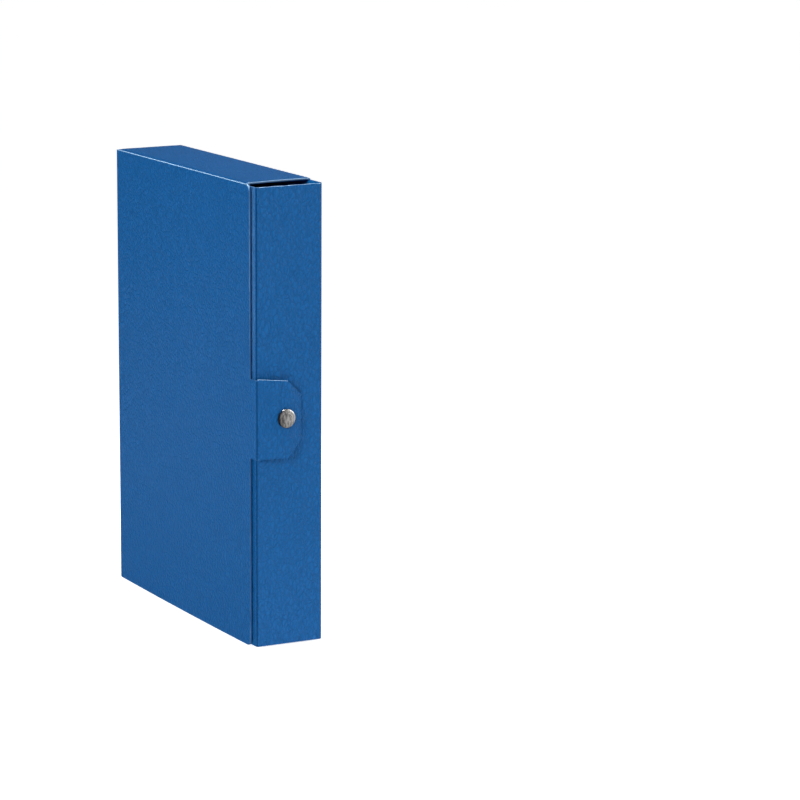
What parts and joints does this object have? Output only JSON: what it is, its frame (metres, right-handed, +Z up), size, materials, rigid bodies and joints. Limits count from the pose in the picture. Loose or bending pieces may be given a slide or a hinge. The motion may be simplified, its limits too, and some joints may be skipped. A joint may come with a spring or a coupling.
{
  "type": "archival box",
  "caption": "Upright archival document box of grained board, with a hinged spine and cover, a closing tab with a press stud, tucked end flaps and a fore-edge flap.",
  "frame": {"origin": "on the outer face of the foot end wall that the box stands on, at the middle of the box's depth and thickness", "axes": "+Z up the box's length from the foot end to the head end, +X from the spine to the fore-edge, and -Y the way the cover faces"},
  "size_m": [0.2573, 0.057, 0.35],
  "materials": {
    "board": "satin",
    "nickel": "polished",
    "black_lacquer": "gloss"
  },
  "bodies": {
    "box_body": {"back_panel": "board", "fore_edge_wall": "board", "fore_edge_flap": "board", "head_end_wall": "board", "head_end_flap": "board", "foot_end_wall": "board", "foot_end_flap": "board", "wall_stud": "nickel", "wall_stud_post": "nickel", "head_ring_cap": "black_lacquer", "head_socket": "nickel", "head_stud": "nickel", "head_stud_post": "nickel", "foot_ring_cap": "black_lacquer", "foot_socket": "nickel", "foot_stud": "nickel", "foot_stud_post": "nickel"},
    "spine": {"spine_panel": "board"},
    "cover": {"cover_panel": "board"},
    "tab": {"closing_tab": "board", "tab_cap": "nickel", "tab_socket": "black_lacquer"}
  },
  "joints": [
    {"name": "spine_fold", "type": "hinge", "parent": "box_body", "child": "spine", "pos_m": [-0.12425, 0.02775, 0.175], "axis": [0, 0, -1], "range_deg": [0, 90]},
    {"name": "cover_fold", "type": "hinge", "parent": "spine", "child": "cover", "pos_m": [-0.12425, -0.02775, 0.175], "axis": [0, 0, -1], "range_deg": [0, 180]},
    {"name": "tab_fold", "type": "hinge", "parent": "cover", "child": "tab", "pos_m": [0.12875, -0.02775, 0.175], "axis": [0, 0, -1], "range_deg": [0, 90]}
  ]
}
